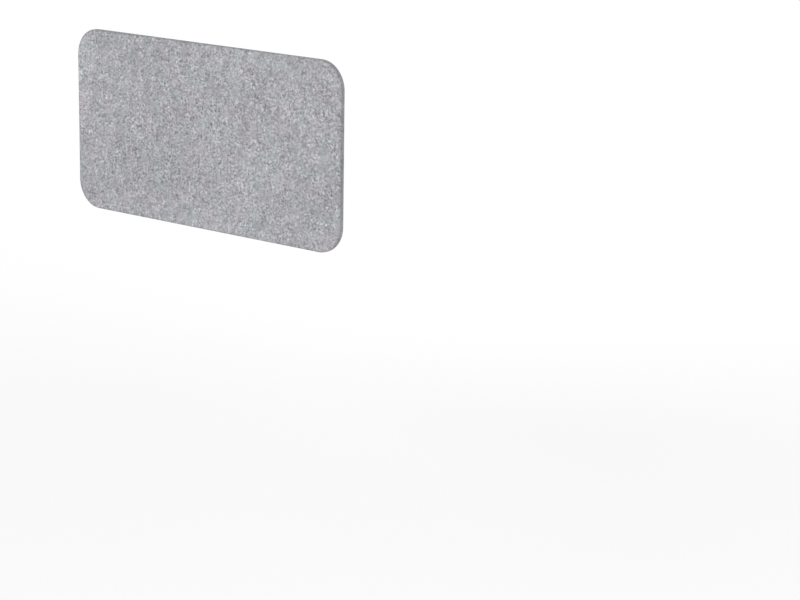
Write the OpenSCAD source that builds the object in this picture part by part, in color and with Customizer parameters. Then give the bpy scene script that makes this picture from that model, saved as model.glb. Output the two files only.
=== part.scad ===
// Acoustic divider screen for the end of a desk.
// A felt-faced board with rounded corners hangs on two folded steel brackets. Each bracket's foot goes under
// the worktop and is screwed to it, and its two ears stand against the worktop's end edge.
// +X runs along the screen's width, +Y inward over the desk, +Z up. z = 0 is the worktop's underside.
// The origin is the centre of the four fixing slots.

/* [Panel] */
// Width of the screen
panel_w = 800; // [600:10:1600]
// Height of the screen
panel_h = 412; // [300:2:700]
// Radius of the screen's four corners
corner_r = 62; // [20:1:100]
// How far the screen hangs below the worktop's underside
panel_drop = 38; // [36:1:60]
// Thickness of each felt facing
felt_t = 2; // [2:0.5:4]
// Thickness of the pressed core board
core_t = 6; // [6:0.5:12]
// Rounding of each facing's outer edge
felt_edge_r = 1.8; // [0.6:0.1:1.9]

/* [Bracket] */
// Thickness of the bracket's steel
steel_t = 3; // [3:0.5:5]
// Width of each ear
ear_w = 20; // [17:0.5:30]
// Corner radius of the upright plate
plate_r = 6; // [2:0.5:8]
// Bare panel left below the plate
plate_margin = 4; // [2:0.5:6]
// Height of the ears above the worktop's underside
ear_h = 18; // [16:0.5:22]
// Radius of the ears' inner top corners
ear_r = 4; // [2:0.5:6]
// Width of the foot
foot_w = 50; // [44:1:54]
// Length of the foot past its last slots
foot_end = 15; // [12:1:25]
// Corner radius of the foot's tip
foot_r = 10; // [4:0.5:14]
// Inside radius of the fold
bend_r = 3; // [2:0.5:5]
// Width of the relief notch at each end of the fold
relief_w = 3; // [2:0.5:4]
// From the screen's end to the middle of the bracket
bracket_inset = 150; // [120:5:250]

/* [Fixing to the desk] */
// From the worktop's end edge to the centre of the slots
slot_reach = 75; // [66:1:110]
// From one row of slots to the other
slot_pitch = 30; // [20:1:36]
// Width of a slot
slot_w = 5.5; // [4.5:0.5:7]
// Length of a slot, end to end
slot_l = 12; // [9:1:20]

/* [Screws and tee nuts] */
// Thread diameter of the panel screws
screw_d = 4; // [3:0.5:4.5]
// Diameter of the countersunk head
head_d = 8; // [7:0.5:8.5]
// Across flats of the head's hexagon socket
socket_af = 2.5; // [2:0.5:3]
// From the plate's edge to the middle of a lower screw
screw_edge = 11; // [8:0.5:12]
// Diameter of the tee nut's flange
flange_d = 15; // [13:0.5:18]
// Thickness of the tee nut's flange
flange_t = 1; // [0.8:0.1:1.5]
// Outside diameter of the tee nut's barrel
barrel_d = 5.6; // [5.2:0.1:6.5]
// Prongs on each tee nut
prongs = 4; // [3:1:4]
// Length of a prong
prong_l = 4; // [3:0.5:4.5]

/* [Pads] */
// Thickness of the pad on the foot
foot_pad_t = 1; // [0.5:0.5:2]
// Thickness of the pads on the ears
edge_pad_t = 1; // [0.5:0.5:2]
// Steel left bare round a pad
pad_inset = 1.5; // [1:0.5:2.5]
// Radius of the pads' corners
pad_r = 3; // [1:0.5:4]

/* [Hidden] */
$fn = 96;

// Clearances, and how far a cut runs past the face that it opens
fit_gap = 0.05;
hole_gap = 0.25;
over = 1;

// Planes across the screen's thickness, from the worktop's end edge outwards
end_y = -slot_reach;
plate_in_y = end_y - edge_pad_t;
rear_y = plate_in_y - steel_t;
core_in_y = rear_y - felt_t;
core_out_y = core_in_y - core_t;
face_y = core_out_y - felt_t;

// Levels of the screen and of the bracket's fold
panel_mid_z = panel_h / 2 - panel_drop;
foot_top_z = -foot_pad_t;
foot_under_z = foot_top_z - steel_t;
bend_z = foot_under_z - bend_r;
plate_low_z = plate_margin - panel_drop;
plate_mid_z = (ear_h + plate_low_z) / 2;

// Places along and across the foot
bend_end_y = plate_in_y + bend_r;
foot_tip_y = slot_pitch / 2 + foot_end;
bracket_x = panel_w / 2 - bracket_inset;

// The ears, and the four screws of one bracket measured from its middle
ear_in_x = foot_w / 2 + relief_w;
plate_w = 2 * (ear_in_x + ear_w);
screw_x = ear_in_x + ear_w / 2;
ear_screw_z = ear_h / 2 - pad_inset / 2;
low_screw_z = plate_low_z + screw_edge;
screw_places = [for (side = [-1, 1], z = [low_screw_z, ear_screw_z]) [side * screw_x, z]];

// Countersunk screw: its head's rim, cone and sink below the plate's face, its socket, length and tip
head_rim = 0.3;
head_sink = 0.1;
head_cone = (head_d - screw_d) / 2;
socket_deep = 1.6;
screw_short = 0.9;
screw_l = steel_t + felt_t + core_t - screw_short - head_sink;
tip_bevel = 0.5;

// Tee nut: the barrel stops short of the board's face, and a prong is a tapered tooth near the flange's rim
nut_short = 0.3;
prong_w = 2.8;
prong_t = 0.9;
prong_tip = 0.4;
prong_rim = 0.4;
prong_x = flange_d / 2 - prong_rim - prong_t;
notch_w = prong_w + 2 * fit_gap;

// Foot pad's window round each slot, and the ring that clears a screw's head
window_gap = 1;
ring_d = head_d + 2 * window_gap;

// A rectangle with round corners, centred on the origin
module round_rect(w, h, r) {
    square([w - 2 * r, h], center = true);
    square([w, h - 2 * r], center = true);
    for (x = [-1, 1], y = [-1, 1])
        translate([x * (w / 2 - r), y * (h / 2 - r)]) circle(r);
}

// Stands a flat outline upright, where its Y becomes Z, from the plane y outwards for a thickness t
module stand(y, t) {
    translate([0, y, 0]) rotate([90, 0, 0]) linear_extrude(t) children();
}

// Carries a profile drawn in Y and Z across a width, centred on x = 0
module across(w) {
    translate([-w / 2, 0, 0]) rotate([90, 0, 90]) linear_extrude(w) children();
}

// Turns +Z to -Y, so that what is drawn along Z points from the desk's side into the panel
module into_panel(x, y, z) {
    translate([x, y, z]) rotate([90, 0, 0]) children();
}

// Section of a facing's edge: r deep, t thick, with the outer corner rounded
module edge_section(r, t, edge_r) {
    square([r, t - edge_r]);
    square([r - edge_r, t]);
    translate([r - edge_r, t - edge_r]) intersection() {
        circle(edge_r);
        square(edge_r);
    }
}

// A slab with round corners, flat below, whose upper outer edge is rounded all the way round
module facing(w, h, r, t, edge_r) {
    mid_w = w - 2 * r;
    mid_h = h - 2 * r;
    translate([-mid_w / 2, -mid_h / 2, 0]) cube([mid_w, mid_h, t]);
    for (turn = [0, 180]) rotate(turn) {
        translate([mid_w / 2, mid_h / 2, 0]) rotate([90, 0, 0])
            linear_extrude(mid_h) edge_section(r, t, edge_r);
        translate([-mid_w / 2, mid_h / 2, 0]) rotate([90, 0, 90])
            linear_extrude(mid_w) edge_section(r, t, edge_r);
        translate([mid_w / 2, mid_h / 2, 0])
            rotate_extrude(angle = 90) edge_section(r, t, edge_r);
        translate([-mid_w / 2, mid_h / 2, 0]) rotate(90)
            rotate_extrude(angle = 90) edge_section(r, t, edge_r);
    }
}

// Runs its children once for each of the eight screws, at the place where the screw stands
module at_all_screws(y) {
    for (x = [-bracket_x, bracket_x]) at_screws(x, y) children();
}

module at_screws(x, y) {
    for (place = screw_places) into_panel(x + place[0], y, place[1]) children();
}

// Facing on the side that is seen from outside, with no opening in it
module outer_felt() {
    color("#a9a9ae")
        translate([0, core_out_y, panel_mid_z]) rotate([90, 0, 0])
            facing(panel_w, panel_h, corner_r, felt_t, felt_edge_r);
}

// Facing on the desk's side, pierced where the screws go through
module inner_felt() {
    color("#a9a9ae") difference() {
        translate([0, core_in_y, panel_mid_z]) rotate([-90, 0, 0])
            facing(panel_w, panel_h, corner_r, felt_t, felt_edge_r);
        at_all_screws(rear_y + over) cylinder(h = felt_t + 2 * over, d = screw_d + 2 * hole_gap);
    }
}

// Pressed board between the facings, with a seat for each tee nut
module panel_core() {
    color("#9d9da3") difference() {
        stand(core_in_y, core_t)
            translate([0, panel_mid_z]) round_rect(panel_w, panel_h, corner_r);
        at_all_screws(core_in_y) tee_nut_seat();
    }
}

// What a tee nut takes out of the board: barrel bore, flange recess and a slit for each prong
module tee_nut_seat() {
    translate([0, 0, -over]) cylinder(h = core_t + 2 * over, d = barrel_d + 2 * fit_gap);
    translate([0, 0, core_t - flange_t]) cylinder(h = flange_t + over, d = flange_d + 2 * fit_gap);
    for (i = [0 : prongs - 1]) rotate(i * 360 / prongs)
        translate([prong_x - fit_gap, -notch_w / 2, core_t - flange_t - prong_l - fit_gap])
            cube([prong_t + 2 * fit_gap, notch_w, prong_l + fit_gap + over]);
}

// Tee nut, drawn with its flange up: bored barrel, notched flange and the prongs bent down from the notches
module tee_nut() {
    difference() {
        union() {
            translate([0, 0, nut_short]) cylinder(h = core_t - nut_short, d = barrel_d);
            translate([0, 0, core_t - flange_t]) cylinder(h = flange_t, d = flange_d);
        }
        translate([0, 0, -over]) cylinder(h = core_t + 2 * over, d = screw_d + 2 * fit_gap);
        for (i = [0 : prongs - 1]) rotate(i * 360 / prongs)
            translate([prong_x + prong_t, -prong_w / 2, core_t - flange_t - over])
                cube([flange_d / 2, prong_w, flange_t + 2 * over]);
    }
    for (i = [0 : prongs - 1]) rotate(i * 360 / prongs)
        translate([prong_x, 0, core_t - flange_t]) rotate([90, 0, 90]) linear_extrude(prong_t)
            polygon([[-prong_w / 2, flange_t / 2], [-prong_w / 2, 0], [-prong_tip / 2, -prong_l],
                [prong_tip / 2, -prong_l], [prong_w / 2, 0], [prong_w / 2, flange_t / 2]]);
}

module tee_nuts(x) {
    color("#c9cbcf") at_screws(x, core_in_y) tee_nut();
}

// Countersunk machine screw with a hexagon socket, its head at z = 0 and its point up
module panel_screw() {
    difference() {
        union() {
            cylinder(h = head_rim, d = head_d);
            translate([0, 0, head_rim]) cylinder(h = head_cone, d1 = head_d, d2 = screw_d);
            cylinder(h = screw_l - tip_bevel, d = screw_d);
            translate([0, 0, screw_l - tip_bevel])
                cylinder(h = tip_bevel, d1 = screw_d, d2 = screw_d - 2 * tip_bevel);
        }
        translate([0, 0, -over])
            cylinder(h = socket_deep + over, d = socket_af / cos(30), $fn = 6);
    }
}

module panel_screws(x) {
    color("#d4d6da") at_screws(x, plate_in_y - head_sink) panel_screw();
}

// Countersunk hole through the plate, opening at z = 0
module screw_hole() {
    cone_z = head_sink + head_rim + hole_gap;
    translate([0, 0, -over]) cylinder(h = over + cone_z, d = head_d + 2 * hole_gap);
    translate([0, 0, cone_z]) cylinder(h = head_cone, d1 = head_d + 2 * hole_gap, d2 = screw_d + 2 * hole_gap);
    cylinder(h = steel_t + over, d = screw_d + 2 * hole_gap);
}

// Takes the square tip off an ear's inner top corner
module ear_corner() {
    difference() {
        translate([-over, -ear_r]) square([ear_r + over, ear_r + over]);
        translate([ear_r, -ear_r]) circle(ear_r);
    }
}

// Upright plate's outline, with the gap that the foot leaves between the ears
module plate_outline() {
    difference() {
        translate([0, plate_mid_z]) round_rect(plate_w, ear_h - plate_low_z, plate_r);
        translate([-ear_in_x, bend_z]) square([2 * ear_in_x, ear_h - bend_z + over]);
        for (side = [-1, 1]) {
            translate([side * (foot_w + relief_w) / 2, bend_z]) circle(d = relief_w);
            translate([side * ear_in_x, ear_h]) scale([side, 1]) ear_corner();
        }
    }
}

// Foot's outline in plan, from the end of the fold to its rounded tip, with its two slots
module foot_outline() {
    difference() {
        union() {
            translate([-foot_w / 2, bend_end_y])
                square([foot_w, foot_tip_y - bend_end_y - foot_r]);
            translate([foot_r - foot_w / 2, bend_end_y])
                square([foot_w - 2 * foot_r, foot_tip_y - bend_end_y]);
            for (side = [-1, 1])
                translate([side * (foot_w / 2 - foot_r), foot_tip_y - foot_r]) circle(foot_r);
        }
        slots(0);
    }
}

// The two slots of one foot, grown all round by a gap
module slots(gap) {
    for (y = [-slot_pitch / 2, slot_pitch / 2]) translate([0, y]) {
        square([slot_l - slot_w, slot_w + 2 * gap], center = true);
        for (side = [-1, 1])
            translate([side * (slot_l - slot_w) / 2, 0]) circle(d = slot_w + 2 * gap);
    }
}

// Quarter ring that joins plate and foot
module fold_section() {
    intersection() {
        difference() {
            translate([bend_end_y, bend_z]) circle(bend_r + steel_t);
            translate([bend_end_y, bend_z]) circle(bend_r);
        }
        translate([bend_end_y - bend_r - steel_t, bend_z]) square(bend_r + steel_t);
    }
}

// Folded bracket, cut as one blank: plate, two ears and the foot that is bent in between them
module bracket(x) {
    color("#f2f2f0") {
        difference() {
            translate([x, 0, 0]) stand(plate_in_y, steel_t) plate_outline();
            at_screws(x, plate_in_y) screw_hole();
        }
        translate([x, 0, 0]) across(foot_w) fold_section();
        translate([x, 0, foot_under_z]) linear_extrude(steel_t) foot_outline();
    }
}

// Thin pad on the foot, under the worktop
module foot_pad(x) {
    pad_low_y = bend_end_y + pad_inset;
    pad_high_y = foot_tip_y - pad_inset;
    color("#3a3b3d") translate([x, 0, foot_top_z]) linear_extrude(foot_pad_t) difference() {
        translate([0, (pad_low_y + pad_high_y) / 2])
            round_rect(foot_w - 2 * pad_inset, pad_high_y - pad_low_y, foot_r - pad_inset);
        slots(window_gap);
    }
}

// Thin pad on each ear, against the worktop's end edge, with a ring that leaves the screw's head free
module edge_pads(x) {
    pad_w = ear_w - 2 * pad_inset;
    pad_h = ear_h - pad_inset;
    color("#3a3b3d") for (side = [-1, 1])
        translate([x, 0, 0]) stand(end_y, edge_pad_t) translate([side * screw_x, 0]) difference() {
            translate([0, pad_h / 2]) round_rect(pad_w, pad_h, pad_r);
            translate([0, ear_screw_z]) circle(d = ring_d);
        }
}

outer_felt();
panel_core();
inner_felt();
bracket(-bracket_x);  // left_bracket
bracket(bracket_x);  // right_bracket
panel_screws(-bracket_x);  // left_panel_screws
panel_screws(bracket_x);  // right_panel_screws
tee_nuts(-bracket_x);  // left_tee_nuts
tee_nuts(bracket_x);  // right_tee_nuts
foot_pad(-bracket_x);  // left_foot_pad
foot_pad(bracket_x);  // right_foot_pad
edge_pads(-bracket_x);  // left_edge_pads
edge_pads(bracket_x);  // right_edge_pads
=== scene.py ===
import math

import bmesh
import bpy
from mathutils import Matrix, Vector, noise


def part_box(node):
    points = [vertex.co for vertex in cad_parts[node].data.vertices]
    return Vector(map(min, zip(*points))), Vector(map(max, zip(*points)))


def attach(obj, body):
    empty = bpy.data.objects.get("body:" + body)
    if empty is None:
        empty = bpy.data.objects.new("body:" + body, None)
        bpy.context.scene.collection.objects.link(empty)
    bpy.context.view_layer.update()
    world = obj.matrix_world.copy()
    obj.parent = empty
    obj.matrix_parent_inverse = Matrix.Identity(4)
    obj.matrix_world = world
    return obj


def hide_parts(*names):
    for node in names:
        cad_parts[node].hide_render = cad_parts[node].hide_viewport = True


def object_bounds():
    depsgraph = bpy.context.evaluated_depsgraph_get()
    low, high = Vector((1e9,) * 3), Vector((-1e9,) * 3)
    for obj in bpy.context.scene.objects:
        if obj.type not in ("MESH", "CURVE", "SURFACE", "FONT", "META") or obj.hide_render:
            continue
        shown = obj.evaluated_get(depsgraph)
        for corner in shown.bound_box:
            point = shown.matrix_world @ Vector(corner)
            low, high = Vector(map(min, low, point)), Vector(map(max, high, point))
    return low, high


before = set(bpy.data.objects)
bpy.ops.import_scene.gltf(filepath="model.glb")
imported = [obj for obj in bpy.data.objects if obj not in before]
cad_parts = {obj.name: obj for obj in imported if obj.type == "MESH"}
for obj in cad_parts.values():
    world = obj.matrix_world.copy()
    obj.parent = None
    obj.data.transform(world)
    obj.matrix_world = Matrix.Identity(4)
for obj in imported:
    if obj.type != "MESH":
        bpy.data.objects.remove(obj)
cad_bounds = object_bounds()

MM = 0.001
ROOT = "root"
WHITE = (1.0, 1.0, 1.0, 1.0)

# Small helpers for objects and their meshes


def add_object(name, data):
    made = bpy.data.objects.new(name, data)
    bpy.context.scene.collection.objects.link(made)
    return made


def object_from(mesh, name):
    """An object from a mesh that is being edited, which this ends."""
    data = bpy.data.meshes.new(name)
    mesh.to_mesh(data)
    mesh.free()
    return add_object(name, data)


def apply_modifiers(piece):
    shaped = piece.evaluated_get(bpy.context.evaluated_depsgraph_get())
    data = bpy.data.meshes.new_from_object(shaped)
    piece.modifiers.clear()
    piece.data = data


def smooth(piece, crease):
    """Smooth shading, with a crease wherever the surface turns by more than the given angle."""
    piece.data.shade_smooth()
    piece.data.set_sharp_from_angle(angle=crease)


def looking(spot, aim):
    """The place and turn of a camera or lamp that stands at spot and looks at aim."""
    turn = (aim - spot).to_track_quat("-Z", "Y").to_matrix().to_4x4()
    return Matrix.Translation(spot) @ turn


# The camera stands to the right of the screen's outer face, a little above it

PHOTO_WIDTH_PX = 800
SENSOR_WIDTH_MM = 36.0
CAMERA_SPOT = Vector((3.6534, -3.8247, 1.0705))
CAMERA_AIM = Vector((0.5658, -0.089, -0.1043))
CAMERA_ROLL = math.radians(0.934)
CAMERA_FOCAL_PX = 2403.2


def make_camera():
    data = bpy.data.cameras.new("camera")
    data.sensor_width = SENSOR_WIDTH_MM
    data.lens = CAMERA_FOCAL_PX / PHOTO_WIDTH_PX * SENSOR_WIDTH_MM
    camera = add_object("camera", data)
    camera.matrix_world = looking(CAMERA_SPOT, CAMERA_AIM) @ Matrix.Rotation(CAMERA_ROLL, 4, "Z")
    bpy.context.scene.camera = camera


# Small helpers that build shader trees

# A turn that keeps the noise's own lattice from lying parallel to a flat face, where its contrast would vary
TILT, LEAN = 0.6, 0.5
SKEW = (TILT, LEAN, 0.0)


def blank_material(name):
    """A material with nothing but its output: the material, its tree and the output's surface socket."""
    material = bpy.data.materials.new(name)
    material.use_nodes = True
    tree = material.node_tree
    tree.nodes.clear()
    output = tree.nodes.new("ShaderNodeOutputMaterial")
    return material, tree, output.inputs["Surface"]


def new_material(name, finish=None):
    """A material of one shader: the material, its tree and the shader's sockets.

    Finish gives the numbers that are the same all over, by the names of their sockets.
    """
    material, tree, surface = blank_material(name)
    shader = tree.nodes.new("ShaderNodeBsdfPrincipled")
    for socket, number in (finish or {}).items():
        shader.inputs[socket].default_value = number
    tree.links.new(shader.outputs["BSDF"], surface)
    return material, tree, shader.inputs


def put(tree, socket, value):
    """Links value to the socket if it is an output, and sets it otherwise."""
    if isinstance(value, bpy.types.NodeSocket):
        tree.links.new(value, socket)
    else:
        socket.default_value = value


def maths(tree, operation, a, b):
    node = tree.nodes.new("ShaderNodeMath")
    node.operation = operation
    put(tree, node.inputs[0], a)
    put(tree, node.inputs[1], b)
    return node.outputs["Value"]


def remap(tree, value, low, high, to_low, to_high):
    """Carries low to high over into to_low to to_high, and holds what lies beyond at the ends."""
    node = tree.nodes.new("ShaderNodeMapRange")
    node.clamp = True
    put(tree, node.inputs["Value"], value)
    for name, number in zip(("From Min", "From Max", "To Min", "To Max"), (low, high, to_low, to_high)):
        node.inputs[name].default_value = number
    return node.outputs["Result"]


def spread(tree, pattern, to_low=-1.0, to_high=1.0, reach=0.2):
    """Carries the part of a speckle that lies within reach of its middle over into to_low to to_high."""
    return remap(tree, pattern, 0.5 - reach, 0.5 + reach, to_low, to_high)


def place(tree, turn=(0.0, 0.0, 0.0), stretch=(1.0, 1.0, 1.0), shift=(0.0, 0.0, 0.0)):
    """Object coordinates in metres, for a pattern that is stretched, then turned, then shifted."""
    source = tree.nodes.new("ShaderNodeTexCoord")
    mapping = tree.nodes.new("ShaderNodeMapping")
    mapping.vector_type = "TEXTURE"
    mapping.inputs["Rotation"].default_value = turn
    mapping.inputs["Scale"].default_value = stretch
    mapping.inputs["Location"].default_value = shift
    tree.links.new(source.outputs["Object"], mapping.inputs["Vector"])
    return mapping.outputs["Vector"]


def speckle(tree, grain, where=None, detail=1.0, rough=0.5, warp=0.0):
    """Noise whose spots are about grain metres across, from 0 to 1 with its middle at 0.5."""
    node = tree.nodes.new("ShaderNodeTexNoise")
    node.inputs["Scale"].default_value = 1 / grain
    node.inputs["Detail"].default_value = detail
    node.inputs["Roughness"].default_value = rough
    node.inputs["Distortion"].default_value = warp
    tree.links.new(where or place(tree, SKEW), node.inputs["Vector"])
    return node.outputs["Fac"]


def tinted(tree, colour, gain):
    """A colour times a number."""
    node = tree.nodes.new("ShaderNodeVectorMath")
    node.operation = "SCALE"
    put(tree, node.inputs[0], colour)
    put(tree, node.inputs["Scale"], gain)
    return node.outputs["Vector"]


def mixed(tree, factor, a, b):
    """Colour a where the factor is 0, and colour b where it is 1."""
    node = tree.nodes.new("ShaderNodeMix")
    node.data_type = "RGBA"
    put(tree, node.inputs["Factor"], factor)
    put(tree, node.inputs["A"], a)
    put(tree, node.inputs["B"], b)
    return node.outputs["Result"]


def bump(tree, height, depth, strength):
    """Relief from a height pattern, where depth is in metres."""
    node = tree.nodes.new("ShaderNodeBump")
    node.inputs["Distance"].default_value = depth
    node.inputs["Strength"].default_value = strength
    tree.links.new(height, node.inputs["Height"])
    return node.outputs["Normal"]


# Pressed felt: pale and dark fibres matted together. Its mottle shows from afar, its strands from close by

FELT_COOL = (0.394, 0.407, 0.429, 1.0)
FELT_WARM = (0.415, 0.402, 0.434, 1.0)
HUE_GRAIN = 50 * MM
HUE_REACH = 0.15
HUE_WARP = 0.4
FELT_FINISH = {"Roughness": 0.95, "Specular IOR Level": 0.15, "Sheen Weight": 0.08, "Sheen Roughness": 0.6}
FELT_BUMP = (0.12 * MM, 0.6)

# The mottle's spots are longer along the screen than up it, and the nap is a faint grain that runs up it
MOTTLE_GRAIN = 4.85 * MM
MOTTLE_REACH = 0.25
MOTTLE_TURN = (TILT, 0.0, LEAN)
MOTTLE_STRETCH = (1.38, 1.0, 1.0)
NAP_GRAIN = 3.6 * MM
NAP_TURN = (0.0, 0.0, TILT)
NAP_STRETCH = (1.0, 1.0, 7.0)
CLUMP_GRAIN = 22 * MM
CLOUD_GRAIN = 190 * MM

# Pale strands and then dark ones, as (width, length): thick bundles, and single threads
BUNDLES = ((1.0 * MM, 8 * MM), (1.1 * MM, 7 * MM))
THREADS = ((0.26 * MM, 6 * MM), (0.3 * MM, 5 * MM))

# A set of strands lies in several directions, which turn by some degrees from seed to seed. Only the crests
# of the noise show: from the first height on, and fully from the second on
STRAND_WAYS = 4
STRAND_TURN = 17
STRAND_WARP = 0.5
STRAND_CRESTS = (0.55, 0.8)

# Patches in which the fine layers show more or less strongly
PATCH_GRAIN = 24 * MM
PATCH_SHIFT = (0.4, 0.0, 0.0)
PATCH_STRENGTH = (0.62, 1.38)

# What each layer adds to the felt's light and dark, and to its relief
FINE_SHARES = {"mottle": 0.55, "nap": 0.09, "bundles": 0.26, "threads": 0.42}
BROAD_SHARES = {"clumps": 0.105, "clouds": 0.07}
RELIEF_SHARES = {"mottle": 0.5, "bundles": 1.0, "threads": 1.5}

# The facings' rim is pressed and calmer, and darker: partly its own tone, partly painted edge shade. The
# board's edge is calm too, and has thin plies
FELT_RIM = "rim"
RIM_TONE_AND_PAINTED_SHADE = 0.70
PRESSED_CALM = 0.6
PLY_GRAIN = 0.8 * MM
PLY_STRETCH = (20.0, 1.0, 20.0)
BOARD_SHADE = 0.88
PLY_SHADES = (0.9 * BOARD_SHADE, 1.06 * BOARD_SHADE)


def strands(tree, width, length, seed):
    """Streaks that lie in several directions across the felt, from 0 to 1."""
    crest = None
    for way in range(STRAND_WAYS):
        turn = (TILT, math.radians(180 / STRAND_WAYS * way + STRAND_TURN * seed), 0.0)
        where = place(tree, turn, (length / width, 1.0, 1.0), (seed + way, seed, way))
        streak = speckle(tree, width, where, warp=STRAND_WARP)
        crest = streak if crest is None else maths(tree, "MAXIMUM", crest, streak)
    return remap(tree, crest, *STRAND_CRESTS, 0.0, 1.0)


def pale_and_dark(tree, sizes, seed):
    """Pale strands less dark ones, from -1 to 1."""
    pale, dark = sizes
    return maths(tree, "SUBTRACT", strands(tree, *pale, seed), strands(tree, *dark, seed + 1))


def felt_layers(tree):
    """The patterns that make up the felt, each from -1 to 1."""
    mottle_place = place(tree, MOTTLE_TURN, MOTTLE_STRETCH)
    mottle = speckle(tree, MOTTLE_GRAIN, mottle_place, detail=2.5, rough=0.6)
    nap = speckle(tree, NAP_GRAIN, place(tree, NAP_TURN, NAP_STRETCH))
    return {
        "mottle": spread(tree, mottle, reach=MOTTLE_REACH),
        "nap": spread(tree, nap),
        "bundles": pale_and_dark(tree, BUNDLES, seed=1),
        "threads": pale_and_dark(tree, THREADS, seed=3),
        "clumps": spread(tree, speckle(tree, CLUMP_GRAIN)),
        "clouds": spread(tree, speckle(tree, CLOUD_GRAIN)),
    }


def weighted(tree, layers, shares):
    """The sum of the layers that shares names, each times its share."""
    total = 0.0
    for name, share in shares.items():
        total = maths(tree, "ADD", maths(tree, "MULTIPLY", layers[name], share), total)
    return total


def felt_grain(tree, calm):
    """The fibres' light and dark as a gain about 1, fainter where calm is below 1, and their relief."""
    layers = felt_layers(tree)
    patches = speckle(tree, PATCH_GRAIN, place(tree, SKEW, shift=PATCH_SHIFT))
    strength = maths(tree, "MULTIPLY", spread(tree, patches, *PATCH_STRENGTH), calm)
    fine = maths(tree, "MULTIPLY", weighted(tree, layers, FINE_SHARES), strength)
    change = maths(tree, "ADD", fine, weighted(tree, layers, BROAD_SHARES))
    # The gain is (1 + change / 2) squared, so that pale and dark spots look equally strong
    half = maths(tree, "MULTIPLY", change, 0.5)
    gain = maths(tree, "POWER", maths(tree, "ADD", half, 1.0), 2.0)
    return gain, weighted(tree, layers, RELIEF_SHARES)


def felt_material(name, board=False):
    """Pressed felt, calmer on its rim and darker there, partly its own tone and partly painted edge shade.
    The board shows only its edge, which has thin plies.
    """
    material, tree, sockets = new_material(name, FELT_FINISH)
    if board:
        calm = PRESSED_CALM
        plies = speckle(tree, PLY_GRAIN, place(tree, stretch=PLY_STRETCH), detail=2.0)
        shade = spread(tree, plies, *PLY_SHADES)
    else:
        rim = tree.nodes.new("ShaderNodeAttribute")
        rim.attribute_name = FELT_RIM
        calm = remap(tree, rim.outputs["Fac"], 0.0, 1.0, 1.0, PRESSED_CALM)
        # The rim is darker: partly the pressed edge's own tone, partly painted shade along the outline and on
        # the rolled edge
        shade = remap(tree, rim.outputs["Fac"], 0.0, 1.0, 1.0, RIM_TONE_AND_PAINTED_SHADE)
    gain, relief = felt_grain(tree, calm)
    hue = spread(tree, speckle(tree, HUE_GRAIN, warp=HUE_WARP), 0.0, 1.0, reach=HUE_REACH)
    colour = tinted(tree, mixed(tree, hue, FELT_COOL, FELT_WARM), maths(tree, "MULTIPLY", gain, shade))
    tree.links.new(colour, sockets["Base Color"])
    tree.links.new(bump(tree, relief, *FELT_BUMP), sockets["Normal"])
    return material


# White powder coat on the brackets: a fine orange peel, and a little less gloss in its hollows

PAINT_SHADES = ((0.83, 0.83, 0.82, 1.0), (0.88, 0.88, 0.87, 1.0))
PAINT_DRIFT_GRAIN = 25 * MM
PAINT_PEEL_GRAIN = 0.7 * MM
PAINT_ROUGHNESS = (0.34, 0.46)
PAINT_BUMP = (0.08 * MM, 0.9)


def paint_material():
    material, tree, sockets = new_material("white_powder_coat")
    peel = speckle(tree, PAINT_PEEL_GRAIN, detail=2.0, rough=0.55)
    drift = speckle(tree, PAINT_DRIFT_GRAIN)
    tree.links.new(mixed(tree, drift, *PAINT_SHADES), sockets["Base Color"])
    tree.links.new(spread(tree, peel, *PAINT_ROUGHNESS), sockets["Roughness"])
    tree.links.new(bump(tree, peel, *PAINT_BUMP), sockets["Normal"])
    return material


# Bright zinc plate on screws and tee nuts, with faint turning marks and duller patches

ZINC_FINISH = {"Metallic": 1.0}
ZINC_SHADES = ((0.56, 0.57, 0.60, 1.0), (0.74, 0.74, 0.73, 1.0))
ZINC_PATCH_GRAIN = 2.5 * MM
ZINC_ROUGHNESS = (0.28, 0.42)
ZINC_MARK_GRAIN = 0.15 * MM
ZINC_MARK_STRETCH = (1.0, 1.0, 10.0)
ZINC_BUMP = (0.01 * MM, 0.5)


def zinc_material():
    material, tree, sockets = new_material("zinc_plate", ZINC_FINISH)
    patches = speckle(tree, ZINC_PATCH_GRAIN, detail=3.0)
    marks = speckle(tree, ZINC_MARK_GRAIN, place(tree, stretch=ZINC_MARK_STRETCH))
    tree.links.new(mixed(tree, patches, *ZINC_SHADES), sockets["Base Color"])
    tree.links.new(spread(tree, patches, *ZINC_ROUGHNESS), sockets["Roughness"])
    tree.links.new(bump(tree, marks, *ZINC_BUMP), sockets["Normal"])
    return material


# Charcoal rubber on the pads, with fine pores and a dusty bloom

RUBBER_FINISH = {"Specular IOR Level": 0.35}
RUBBER_SHADES = ((0.030, 0.031, 0.034, 1.0), (0.062, 0.063, 0.067, 1.0))
RUBBER_BLOOM_GRAIN = 9 * MM
RUBBER_PORE_GRAIN = 0.45 * MM
RUBBER_PORE_GAIN = (0.7, 1.3)
RUBBER_ROUGHNESS = (0.9, 0.7)
RUBBER_BUMP = (0.12 * MM, 0.9)


def rubber_material():
    material, tree, sockets = new_material("charcoal_rubber", RUBBER_FINISH)
    pores = speckle(tree, RUBBER_PORE_GRAIN, detail=2.0, rough=0.6)
    bloom = speckle(tree, RUBBER_BLOOM_GRAIN, detail=3.0, rough=0.6)
    dust = maths(tree, "MULTIPLY", bloom, spread(tree, pores, *RUBBER_PORE_GAIN))
    tree.links.new(mixed(tree, spread(tree, dust, 0.0, 1.0), *RUBBER_SHADES), sockets["Base Color"])
    tree.links.new(spread(tree, pores, *RUBBER_ROUGHNESS), sockets["Roughness"])
    tree.links.new(bump(tree, pores, *RUBBER_BUMP), sockets["Normal"])
    return material


# Felt facings: a slab with round corners, a rolled outer edge and a slightly uneven face

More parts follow.
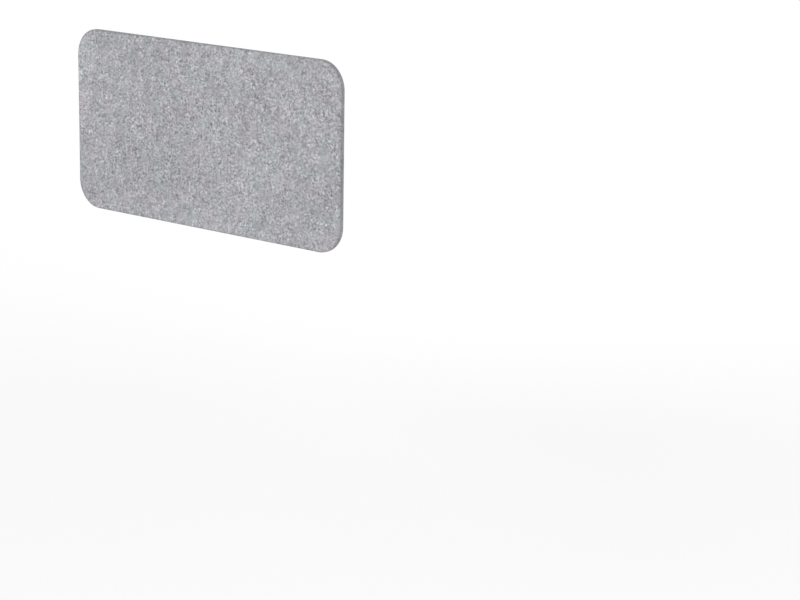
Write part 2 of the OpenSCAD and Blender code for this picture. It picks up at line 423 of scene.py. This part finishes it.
CORNER_R = 62 * MM
EDGE_R = 1.8 * MM
GLUE_R = 0.15 * MM
CELL = 4 * MM
ARC_STEPS = 26
EDGE_STEPS = 6
GLUE_STEPS = 2
FACE_STEPS = 18
FACE_CROWDING = 1.5
FELT_CREASE = math.radians(60)

# The waves that make the face uneven, as (length, height)
FACE_WAVES = ((28 * MM, 0.10 * MM), (7 * MM, 0.06 * MM))

# The rim's share on the face beside the edge, as far in as RIM_FLAT, from where it falls to none at RIM_END.
# There it paints shade along the outline
RIM_FACE_SHARE = 0.52
RIM_FLAT = 2.1 * MM
RIM_END = 3.5 * MM


def steps(low, high, count):
    """Evenly spaced values from low to high, with both ends."""
    return [low + (high - low) * i / count for i in range(count + 1)]


def rim_share(inset):
    """How much of the pressed rim and its painted edge shade there is at a distance inward from the outline,
    from 1 to 0.
    """
    if inset < EDGE_R:
        return RIM_FACE_SHARE + (1 - RIM_FACE_SHARE) * (1 - inset / EDGE_R) ** 2
    return RIM_FACE_SHARE * min(1.0, max(0.0, (RIM_END - inset) / (RIM_END - RIM_FLAT)))


def slab_section(thick):
    """From the glued side round the outer edge to the face, as (inset from the outline, depth) pairs.

    Depth counts from the glued side. The steps on the face lie closer together towards the edge.
    """
    section = [(GLUE_R * (1 - math.sin(a)), GLUE_R * (1 - math.cos(a)))
               for a in steps(0, math.pi / 2, GLUE_STEPS)]
    section += [(EDGE_R * (1 - math.cos(a)), thick - EDGE_R * (1 - math.sin(a)))
                for a in steps(0, math.pi / 2, EDGE_STEPS)]
    section += [(EDGE_R + (CORNER_R - EDGE_R) * share ** FACE_CROWDING, thick)
                for share in steps(0, 1, FACE_STEPS)[1:]]
    return section


def outline_loop(half_w, half_h, across, up):
    """Once round the outline, anticlockwise from the right, as (centre, direction outwards) pairs.

    A point of a ring lies at its centre plus its direction times the ring's corner radius.
    """
    loop = []
    for side_x, side_z, start in ((1, 1, 0), (-1, 1, 90), (-1, -1, 180), (1, -1, 270)):
        centre = Vector((side_x * half_w, side_z * half_h))
        for angle in steps(start, start + 90, ARC_STEPS):
            out = Vector((math.cos(math.radians(angle)), math.sin(math.radians(angle))))
            loop.append((centre, out))
        level = start in (0, 180)
        count = across if level else up
        run = Vector((-side_x * 2 * half_w, 0)) if level else Vector((0, -side_z * 2 * half_h))
        loop += [(centre + run * share, out) for share in steps(0, 1, count)[1:-1]]
    return loop


def inner_loop(grid):
    """The grid's outer points in the order of outline_loop, where each corner point serves a whole arc."""
    top, bottom = grid[-1], grid[0]
    left = [row[0] for row in grid]
    right = [row[-1] for row in grid]
    arc = ARC_STEPS + 1
    loop = [top[-1]] * arc + top[-2:0:-1]
    loop += [top[0]] * arc + left[-2:0:-1]
    loop += [bottom[0]] * arc + bottom[1:-1]
    loop += [bottom[-1]] * arc + right[1:-1]
    return loop


def bridge(mesh, lower, upper):
    """Faces between two closed loops. A face is a triangle where it would have the same corner twice."""
    for i in range(len(lower)):
        j = (i + 1) % len(lower)
        corners = dict.fromkeys((lower[i], lower[j], upper[j], upper[i]))
        mesh.faces.new(list(corners))


def felt_facing(name, node, glued_y, face_y):
    """Builds a facing from its glued plane to its face, in place of the CAD node.

    Rings follow the section as far as the corners' centres, a grid fills the face between these, and one flat
    face closes the glued side.
    """
    low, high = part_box(node)
    mid = (low + high) / 2
    half_w = (high.x - low.x) / 2 - CORNER_R
    half_h = (high.z - low.z) / 2 - CORNER_R
    across, up = round(2 * half_w / CELL), round(2 * half_h / CELL)
    thick = abs(face_y - glued_y)
    outward = 1 if face_y > glued_y else -1
    mesh = bmesh.new()
    rim = mesh.verts.layers.float.new(FELT_RIM)

    def point(x, z, depth, edge):
        spot = Vector((mid.x + x, glued_y + outward * depth, mid.z + z))
        lift = sum(size * noise.noise(spot / wave) for wave, size in FACE_WAVES)
        calm = min(1.0, depth / thick) * (1 - edge)
        vert = mesh.verts.new(spot + Vector((0, outward * lift * calm, 0)))
        vert[rim] = edge
        return vert

    loop = outline_loop(half_w, half_h, across, up)
    rings = []
    for inset, depth in slab_section(thick)[:-1]:
        edge = rim_share(inset)
        rings.append([point(*(centre + out * (CORNER_R - inset)), depth, edge) for centre, out in loop])
    for lower, upper in zip(rings, rings[1:]):
        bridge(mesh, lower, upper)
    grid = [[point(x, z, thick, 0.0) for x in steps(-half_w, half_w, across)]
            for z in steps(-half_h, half_h, up)]
    for row, above in zip(grid, grid[1:]):
        for i in range(across):
            mesh.faces.new((row[i], row[i + 1], above[i + 1], above[i]))
    bridge(mesh, rings[-1], inner_loop(grid))
    mesh.faces.new(rings[0])
    bmesh.ops.recalc_face_normals(mesh, faces=mesh.faces)
    return object_from(mesh, name)


# Brackets, screws and pads: the CAD node's own shape with its sharp edges rounded

BRACKET_ROUND = 0.3 * MM
HOLE_ROUND = 0.1 * MM
SCREW_ROUND = 0.12 * MM
PAD_ROUND = 0.15 * MM
ROUND_STEPS = 2
SHARP = math.radians(25)
FLAT = math.radians(0.3)
MERGE_GAP = 0.001 * MM
HARD_CREASE = math.radians(40)

# A screw's head, the reach of its hole's edges in the bracket, and its hole in the inner facing
HEAD_R = 4 * MM
HOLE_REACH = 4.4 * MM
FELT_HOLE_R = 2.25 * MM
FELT_HOLE_SIDES = 32
DRILL_LENGTH = 20 * MM


def screw_places(node):
    """Where the four screws of a bracket stand, as (x, z)."""
    low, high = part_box(node)
    return [(x, z) for x in (low.x + HEAD_R, high.x - HEAD_R) for z in (low.z + HEAD_R, high.z - HEAD_R)]


def round_edges(mesh, width, chosen):
    """Rounds the sharp edges that chosen accepts."""
    edges = [e for e in mesh.edges if len(e.link_faces) == 2 and e.calc_face_angle() > SHARP and chosen(e)]
    bmesh.ops.bevel(mesh, geom=edges, offset=width, segments=ROUND_STEPS, profile=0.5, affect="EDGES",
                    clamp_overlap=False, loop_slide=False)


def soften(node, name, width, holes=()):
    """A copy of a CAD node whose sharp edges have a small round, and a smaller one at the holes."""
    mesh = bmesh.new()
    mesh.from_mesh(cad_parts[node].data)
    bmesh.ops.remove_doubles(mesh, verts=mesh.verts, dist=MERGE_GAP)
    bmesh.ops.dissolve_limit(mesh, angle_limit=FLAT, verts=mesh.verts, edges=mesh.edges)

    def at_hole(edge):
        return any(all(math.hypot(v.co.x - x, v.co.z - z) < HOLE_REACH for v in edge.verts) for x, z in holes)

    round_edges(mesh, width, lambda edge: not at_hole(edge))
    round_edges(mesh, HOLE_ROUND, at_hole)
    piece = object_from(mesh, name)
    smooth(piece, HARD_CREASE)
    even = piece.modifiers.new("even", "WEIGHTED_NORMAL")
    even.keep_sharp = True
    apply_modifiers(piece)
    return piece


def bore(piece, places, radius):
    """Drills round holes along Y through a piece, at (x, z) places."""
    drills = bmesh.new()
    along_y = Matrix.Rotation(math.radians(90), 4, "X")
    for x, z in places:
        spot = Matrix.Translation((x, piece.data.vertices[0].co.y, z))
        bmesh.ops.create_cone(drills, cap_ends=True, segments=FELT_HOLE_SIDES, radius1=radius, radius2=radius,
                              depth=DRILL_LENGTH, matrix=spot @ along_y)
    drill = object_from(drills, "drill")
    cut = piece.modifiers.new("bore", "BOOLEAN")
    cut.object = drill
    cut.operation = "DIFFERENCE"
    cut.solver = "EXACT"
    apply_modifiers(piece)
    bpy.data.objects.remove(drill)


def dress(piece, material, node):
    """Gives a piece its finish, and lets it ride and stand for its CAD node."""
    piece.data.materials.clear()
    piece.data.materials.append(material)
    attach(piece, ROOT)
    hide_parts(node)


def repaint(node, material):
    """Gives a CAD node that stays a better material."""
    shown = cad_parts[node]
    if not shown.material_slots:
        shown.data.materials.append(material)
    for material_slot in shown.material_slots:
        material_slot.material = material


def make_panel():
    """The two felt facings, and the board between them, which keeps its CAD shape."""
    felt = felt_material("pressed_felt")
    outer_low, outer_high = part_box("outer_felt")
    inner_low, inner_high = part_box("inner_felt")
    outer = felt_facing("outer_facing", "outer_felt", outer_high.y, outer_low.y)
    inner = felt_facing("inner_facing", "inner_felt", inner_low.y, inner_high.y)
    bore(inner, screw_places("left_panel_screws") + screw_places("right_panel_screws"), FELT_HOLE_R)
    for facing, node in ((outer, "outer_felt"), (inner, "inner_felt")):
        smooth(facing, FELT_CREASE)
        dress(facing, felt, node)
    repaint("panel_core", felt_material("core_board", board=True))


def make_brackets():
    """Each bracket with its screws, pads and tee nuts. The tee nuts keep their CAD shape."""
    paint, zinc, rubber = paint_material(), zinc_material(), rubber_material()
    for side in ("left", "right"):
        bracket = f"{side}_bracket"
        screws = f"{side}_panel_screws"
        steel = soften(bracket, f"{side}_folded_bracket", BRACKET_ROUND, screw_places(screws))
        dress(steel, paint, bracket)
        dress(soften(screws, f"{side}_socket_screws", SCREW_ROUND), zinc, screws)
        for pad in (f"{side}_foot_pad", f"{side}_edge_pads"):
            dress(soften(pad, f"{pad}_moulded", PAD_ROUND), rubber, pad)
        repaint(f"{side}_tee_nuts", zinc)


# Surroundings: a pale floor where the floor of the room would be, and soft studio light

FLOOR_Z = -0.704
FLOOR_HALF = 40.0

# The floor's tone as a surface that throws light back at the object, and as the camera sees it
FLOOR_TONE = 0.8
FLOOR_TONE_SEEN = 1.0

# The share of plain white that the camera sees: this much within the inner radius, and all beyond the outer
FLOOR_GLOW = 0.6
POOL_INNER, POOL_OUTER = 1.0, 3.0

# Each lamp's offset from the middle of the object, its size in metres and its power in watts
LAMPS = {
    "key": (Vector((-1.4, -5.6, 2.4)), 3.9, 147),
    "fill": (Vector((3.4, -1.6, 1.4)), 2.4, 50),
    "back": (Vector((-1.6, 3.8, 0.9)), 2.6, 80),
}
WORLD_LEVEL = 0.48


def only_from(tree, *rays):
    """1 for the kinds of ray that are named, and 0 for others."""
    path = tree.nodes.new("ShaderNodeLightPath")
    total = path.outputs[rays[0]]
    for ray in rays[1:]:
        total = maths(tree, "MAXIMUM", total, path.outputs[ray])
    return total


def mix_shaders(tree, factor, a, b):
    """Shader a where the factor is 0, and shader b where it is 1."""
    node = tree.nodes.new("ShaderNodeMixShader")
    tree.links.new(factor, node.inputs["Fac"])
    tree.links.new(a, node.inputs[1])
    tree.links.new(b, node.inputs[2])
    return node.outputs["Shader"]


def floor_material():
    """Pale floor: lit near the object, where the shadow falls, then plain white, and clear from below."""
    material, tree, surface = blank_material("pale_floor")
    seen = only_from(tree, "Is Camera Ray")
    lit = tree.nodes.new("ShaderNodeBsdfDiffuse")
    tree.links.new(remap(tree, seen, 0.0, 1.0, FLOOR_TONE, FLOOR_TONE_SEEN), lit.inputs["Color"])
    plain = tree.nodes.new("ShaderNodeEmission")
    plain.inputs["Color"].default_value = WHITE
    reach = tree.nodes.new("ShaderNodeVectorMath")
    reach.operation = "LENGTH"
    tree.links.new(place(tree), reach.inputs[0])
    far = remap(tree, reach.outputs["Value"], POOL_INNER, POOL_OUTER, FLOOR_GLOW, 1.0)
    whiter = maths(tree, "MULTIPLY", far, seen)
    ground = mix_shaders(tree, whiter, lit.outputs["BSDF"], plain.outputs["Emission"])
    side = tree.nodes.new("ShaderNodeNewGeometry")
    clear = tree.nodes.new("ShaderNodeBsdfTransparent")
    tree.links.new(mix_shaders(tree, side.outputs["Backfacing"], ground, clear.outputs["BSDF"]), surface)
    return material


def make_floor():
    mesh = bmesh.new()
    bmesh.ops.create_grid(mesh, x_segments=1, y_segments=1, size=FLOOR_HALF)
    floor = object_from(mesh, "floor")
    floor.location.z = FLOOR_Z
    floor.data.materials.append(floor_material())


def make_lamps():
    low, high = cad_bounds
    middle = (low + high) / 2
    for name, (offset, size, power) in LAMPS.items():
        data = bpy.data.lights.new(name, "AREA")
        data.shape = "SQUARE"
        data.size = size
        data.energy = power
        lamp = add_object(name, data)
        lamp.matrix_world = looking(middle + offset, middle)
        lamp.visible_camera = False


def make_world():
    """A studio that lights the object at WORLD_LEVEL, and is white in the picture and in reflections."""
    world = bpy.data.worlds.new("studio")
    bpy.context.scene.world = world
    world.use_nodes = True
    tree = world.node_tree
    background = tree.nodes["Background"]
    background.inputs["Color"].default_value = WHITE
    seen = only_from(tree, "Is Camera Ray", "Is Glossy Ray", "Is Transmission Ray")
    tree.links.new(remap(tree, seen, 0.0, 1.0, WORLD_LEVEL, 1.0), background.inputs["Strength"])


make_camera()
make_panel()
make_brackets()
make_floor()
make_lamps()
make_world()
bpy.context.scene.view_settings.view_transform = "Standard"
